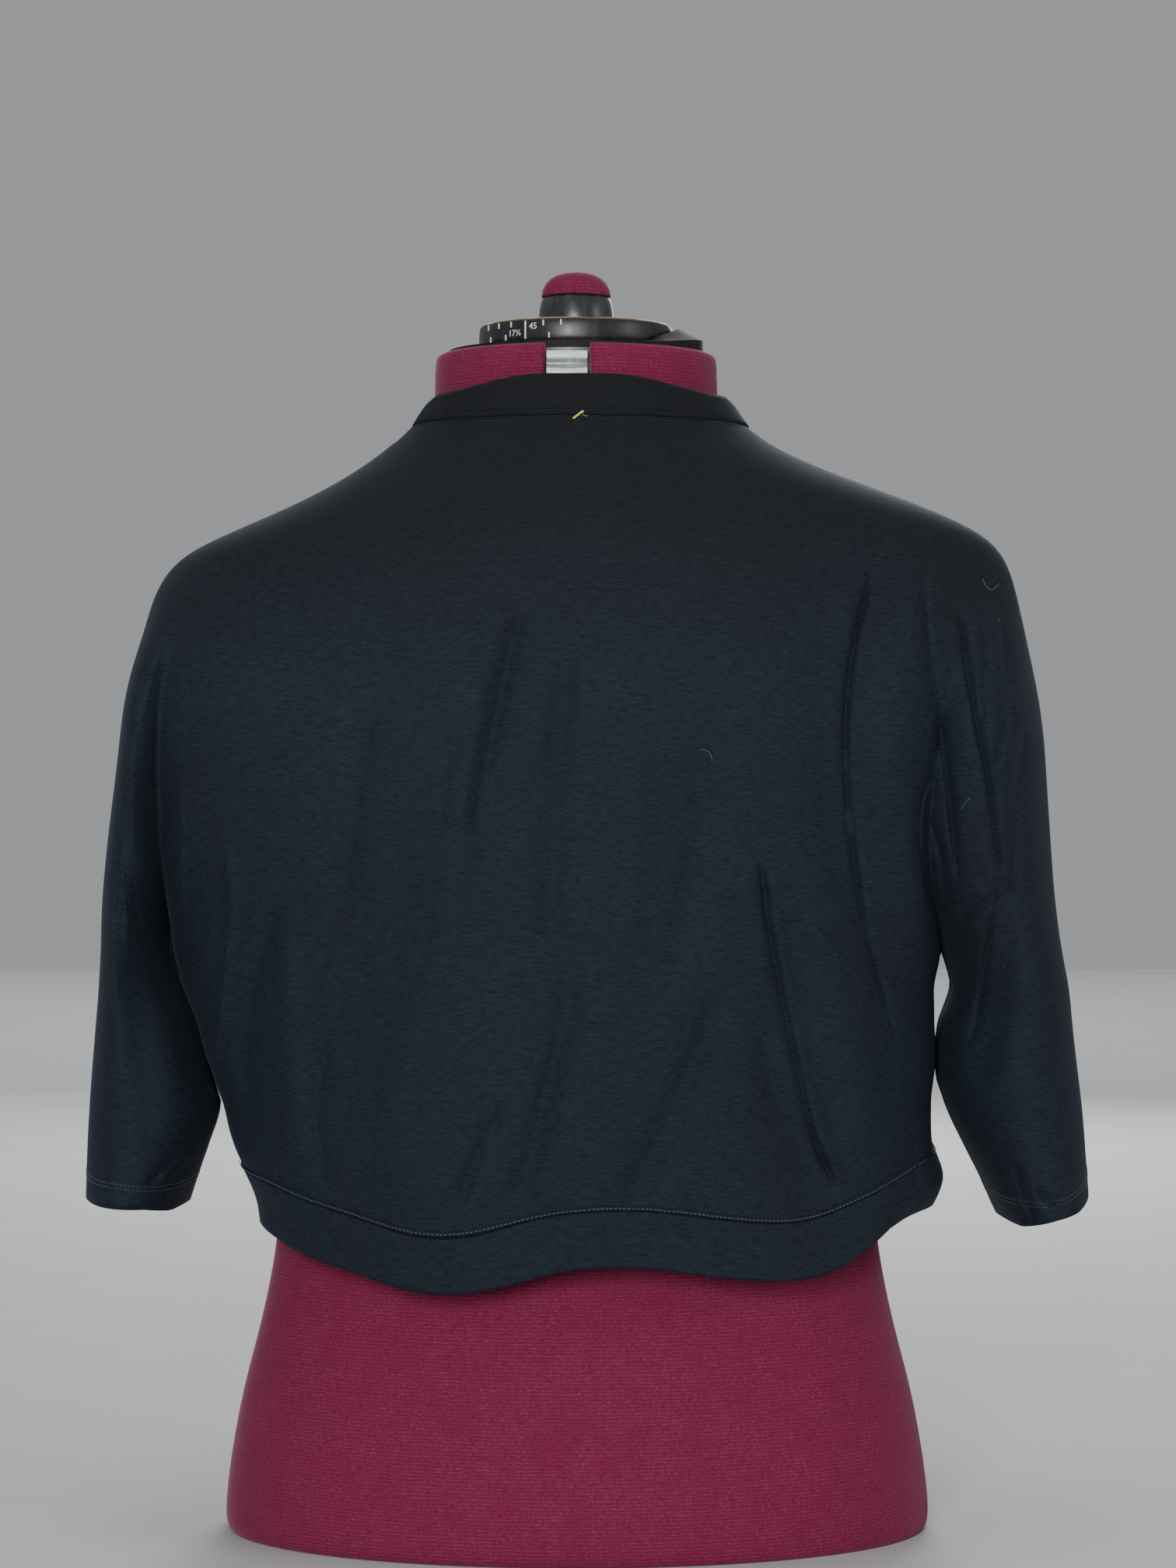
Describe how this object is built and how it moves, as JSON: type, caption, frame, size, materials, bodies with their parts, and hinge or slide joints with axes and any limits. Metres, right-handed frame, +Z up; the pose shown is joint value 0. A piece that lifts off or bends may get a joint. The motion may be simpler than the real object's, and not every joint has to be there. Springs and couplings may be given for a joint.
{
  "type": "knitted shrug on a limbless dress form",
  "caption": "Open-front knitted shrug with elbow-length sleeves and a double band round neck, fronts and hem, worn by a limbless dress form on its flat bottom.",
  "frame": {"origin": "middle of the dress form's flat bottom, on the floor", "axes": "+Z up, the wearer's back faces -Y, +X to the right as seen from behind"},
  "size_m": [0.5141, 0.2978, 0.6469],
  "materials": {
    "jersey": "black, slightly blue jersey with a fine cross grain",
    "band_jersey": "the same jersey, doubled, with a topstitched seam",
    "form_cover": "burgundy knitted cover with a short nap",
    "dark_plastic": "black moulded plastic, half gloss",
    "pale_plastic": "milky white plastic"
  },
  "bodies": {
    "root": {"back_panel": "jersey", "front_panel_left": "jersey", "front_panel_right": "jersey", "edge_band": "band_jersey", "hem_band": "band_jersey", "form_torso": "form_cover", "neck_collar": "form_cover", "neck_core": "dark_plastic", "neck_slider": "pale_plastic", "neck_cap": "dark_plastic", "neck_dial": "dark_plastic", "knob_ring": "dark_plastic", "knob_dome": "form_cover"}
  },
  "joints": []
}
